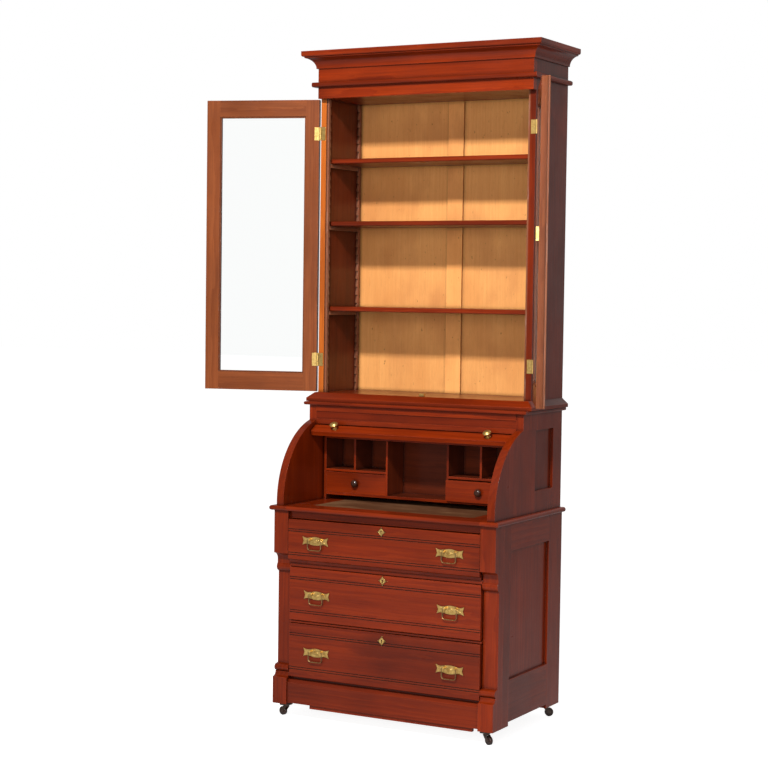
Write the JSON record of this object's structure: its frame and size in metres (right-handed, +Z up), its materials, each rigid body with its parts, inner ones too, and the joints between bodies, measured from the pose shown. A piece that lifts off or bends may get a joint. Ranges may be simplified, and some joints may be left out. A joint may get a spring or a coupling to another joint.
{
  "type": "roll top secretary desk with bookcase",
  "caption": "Tall wooden secretary: glazed bookcase with open doors and shelves over a round-fronted cover, pigeonholes, pull-out writing slide, long drawers with brass bails, and castors.",
  "frame": {"origin": "on the floor, under the middle of the desk's footprint (the base, without its open doors)", "axes": "+Z up, +X to the right as one faces the desk, -Y out of the front of the desk"},
  "size_m": [1.5117, 0.6645, 2.4],
  "materials": {
    "polished_mahogany": "polished",
    "pine": "satin",
    "drawer_lining": "matte",
    "brass": "aged satin",
    "iron": "worn",
    "dark_hardwood": "polished",
    "baize": "felt",
    "glass": "clear"
  },
  "bodies": {
    "desk": {"base_back": "pine", "base_posts": "polished_mahogany", "base_rails": "polished_mahogany", "base_side_left": "polished_mahogany", "base_side_right": "polished_mahogany", "bookcase_back": "pine", "bookcase_base": "polished_mahogany", "bookcase_sides": "polished_mahogany", "case_hardware": "brass", "castor_plates": "iron", "cornice": "polished_mahogany", "deck": "polished_mahogany", "desk_top": "polished_mahogany", "pigeonhole_case": "polished_mahogany", "shelf_supports": "polished_mahogany", "shelves": "polished_mahogany", "upper_back": "pine", "upper_frieze": "polished_mahogany", "upper_side_left": "polished_mahogany", "upper_side_right": "polished_mahogany"},
    "left_door": {"door_left_brass": "brass", "door_left_frame": "polished_mahogany", "door_left_glass": "glass"},
    "right_door": {"door_right_brass": "brass", "door_right_frame": "polished_mahogany", "door_right_glass": "glass", "door_right_strip": "polished_mahogany"},
    "round_cover": {"roll_arms": "iron", "roll_bar": "polished_mahogany", "roll_knobs": "brass", "roll_shell": "polished_mahogany"},
    "writing_slide": {"slide_baize": "baize", "slide_board": "polished_mahogany"},
    "bail_bottom_left": {"bail_bottom_left": "brass"},
    "bail_bottom_right": {"bail_bottom_right": "brass"},
    "bail_middle_left": {"bail_middle_left": "brass"},
    "bail_middle_right": {"bail_middle_right": "brass"},
    "bail_top_left": {"bail_top_left": "brass"},
    "bail_top_right": {"bail_top_right": "brass"},
    "castor_fork_back_left": {"castor_fork_back_left": "iron"},
    "castor_fork_back_right": {"castor_fork_back_right": "iron"},
    "castor_fork_front_left": {"castor_fork_front_left": "iron"},
    "castor_fork_front_right": {"castor_fork_front_right": "iron"},
    "castor_wheel_back_left": {"castor_wheel_back_left": "dark_hardwood"},
    "castor_wheel_back_right": {"castor_wheel_back_right": "dark_hardwood"},
    "castor_wheel_front_left": {"castor_wheel_front_left": "dark_hardwood"},
    "castor_wheel_front_right": {"castor_wheel_front_right": "dark_hardwood"},
    "bottom_drawer": {"drawer_bottom_box": "drawer_lining", "drawer_bottom_brass": "brass", "drawer_bottom_front": "polished_mahogany"},
    "middle_drawer": {"drawer_middle_box": "drawer_lining", "drawer_middle_brass": "brass", "drawer_middle_front": "polished_mahogany"},
    "top_drawer": {"drawer_top_box": "drawer_lining", "drawer_top_brass": "brass", "drawer_top_front": "polished_mahogany"},
    "small_drawer_left": {"small_drawer_left": "polished_mahogany", "small_knob_left": "dark_hardwood"},
    "small_drawer_right": {"small_drawer_right": "polished_mahogany", "small_knob_right": "dark_hardwood"}
  },
  "joints": [
    {"name": "left_door_swing", "type": "hinge", "parent": "desk", "child": "left_door", "pos_m": [-0.4346, 0.00425, 1.693], "axis": [0, 0, -1], "range_deg": [-163, 12]},
    {"name": "right_door_swing", "type": "hinge", "parent": "desk", "child": "right_door", "pos_m": [0.4346, 0.00425, 1.693], "axis": [0, 0, 1], "range_deg": [-116, 59]},
    {"name": "cover_turn", "type": "hinge", "parent": "desk", "child": "round_cover", "pos_m": [0, 0.02, 0.772], "axis": [-1, 0, 0], "range_deg": [-66.6, 0]},
    {"name": "slide_pull", "type": "slide", "parent": "desk", "child": "writing_slide", "axis": [0, -1, 0], "range_m": [0, 0.25]},
    {"name": "top_drawer_pull", "type": "slide", "parent": "desk", "child": "top_drawer", "axis": [0, -1, 0], "range_m": [0, 0.35]},
    {"name": "middle_drawer_pull", "type": "slide", "parent": "desk", "child": "middle_drawer", "axis": [0, -1, 0], "range_m": [0, 0.35]},
    {"name": "bottom_drawer_pull", "type": "slide", "parent": "desk", "child": "bottom_drawer", "axis": [0, -1, 0], "range_m": [0, 0.35]},
    {"name": "small_left_pull", "type": "slide", "parent": "desk", "child": "small_drawer_left", "axis": [0, -1, 0], "range_m": [0, 0.09]},
    {"name": "small_right_pull", "type": "slide", "parent": "desk", "child": "small_drawer_right", "axis": [0, -1, 0], "range_m": [-0.022, 0.068]},
    {"name": "bail_swing_top_left", "type": "hinge", "parent": "top_drawer", "child": "bail_top_left", "pos_m": [-0.266, -0.287, 0.649], "axis": [-1, 0, 0], "range_deg": [0, 85]},
    {"name": "bail_swing_top_right", "type": "hinge", "parent": "top_drawer", "child": "bail_top_right", "pos_m": [0.266, -0.287, 0.649], "axis": [-1, 0, 0], "range_deg": [0, 85]},
    {"name": "bail_swing_middle_left", "type": "hinge", "parent": "middle_drawer", "child": "bail_middle_left", "pos_m": [-0.266, -0.273, 0.453], "axis": [-1, 0, 0], "range_deg": [0, 85]},
    {"name": "bail_swing_middle_right", "type": "hinge", "parent": "middle_drawer", "child": "bail_middle_right", "pos_m": [0.266, -0.273, 0.453], "axis": [-1, 0, 0], "range_deg": [0, 85]},
    {"name": "bail_swing_bottom_left", "type": "hinge", "parent": "bottom_drawer", "child": "bail_bottom_left", "pos_m": [-0.266, -0.273, 0.248], "axis": [-1, 0, 0], "range_deg": [0, 85]},
    {"name": "bail_swing_bottom_right", "type": "hinge", "parent": "bottom_drawer", "child": "bail_bottom_right", "pos_m": [0.266, -0.273, 0.248], "axis": [-1, 0, 0], "range_deg": [0, 85]},
    {"name": "castor_swivel_front_left", "type": "hinge", "parent": "desk", "child": "castor_fork_front_left", "pos_m": [-0.4, -0.245, 0.037], "axis": [0, 0, 1], "continuous": true},
    {"name": "castor_roll_front_left", "type": "hinge", "parent": "castor_fork_front_left", "child": "castor_wheel_front_left", "pos_m": [-0.41369, -0.24209, 0.0155], "axis": [-0.2079, -0.9781, 0], "continuous": true},
    {"name": "castor_swivel_front_right", "type": "hinge", "parent": "desk", "child": "castor_fork_front_right", "pos_m": [0.4, -0.245, 0.037], "axis": [0, 0, 1], "continuous": true},
    {"name": "castor_roll_front_right", "type": "hinge", "parent": "castor_fork_front_right", "child": "castor_wheel_front_right", "pos_m": [0.41269, -0.25092, 0.0155], "axis": [0.4226, 0.9063, 0], "continuous": true},
    {"name": "castor_swivel_back_left", "type": "hinge", "parent": "desk", "child": "castor_fork_back_left", "pos_m": [-0.4, 0.245, 0.037], "axis": [0, 0, 1], "continuous": true},
    {"name": "castor_roll_back_left", "type": "hinge", "parent": "castor_fork_back_left", "child": "castor_wheel_back_left", "pos_m": [-0.41212, 0.252, 0.0155], "axis": [-0.5, -0.866, 0], "continuous": true},
    {"name": "castor_swivel_back_right", "type": "hinge", "parent": "desk", "child": "castor_fork_back_right", "pos_m": [0.4, 0.245, 0.037], "axis": [0, 0, 1], "continuous": true},
    {"name": "castor_roll_back_right", "type": "hinge", "parent": "castor_fork_back_right", "child": "castor_wheel_back_right", "pos_m": [0.41147, 0.25303, 0.0155], "axis": [-0.5736, 0.8192, 0], "continuous": true}
  ]
}
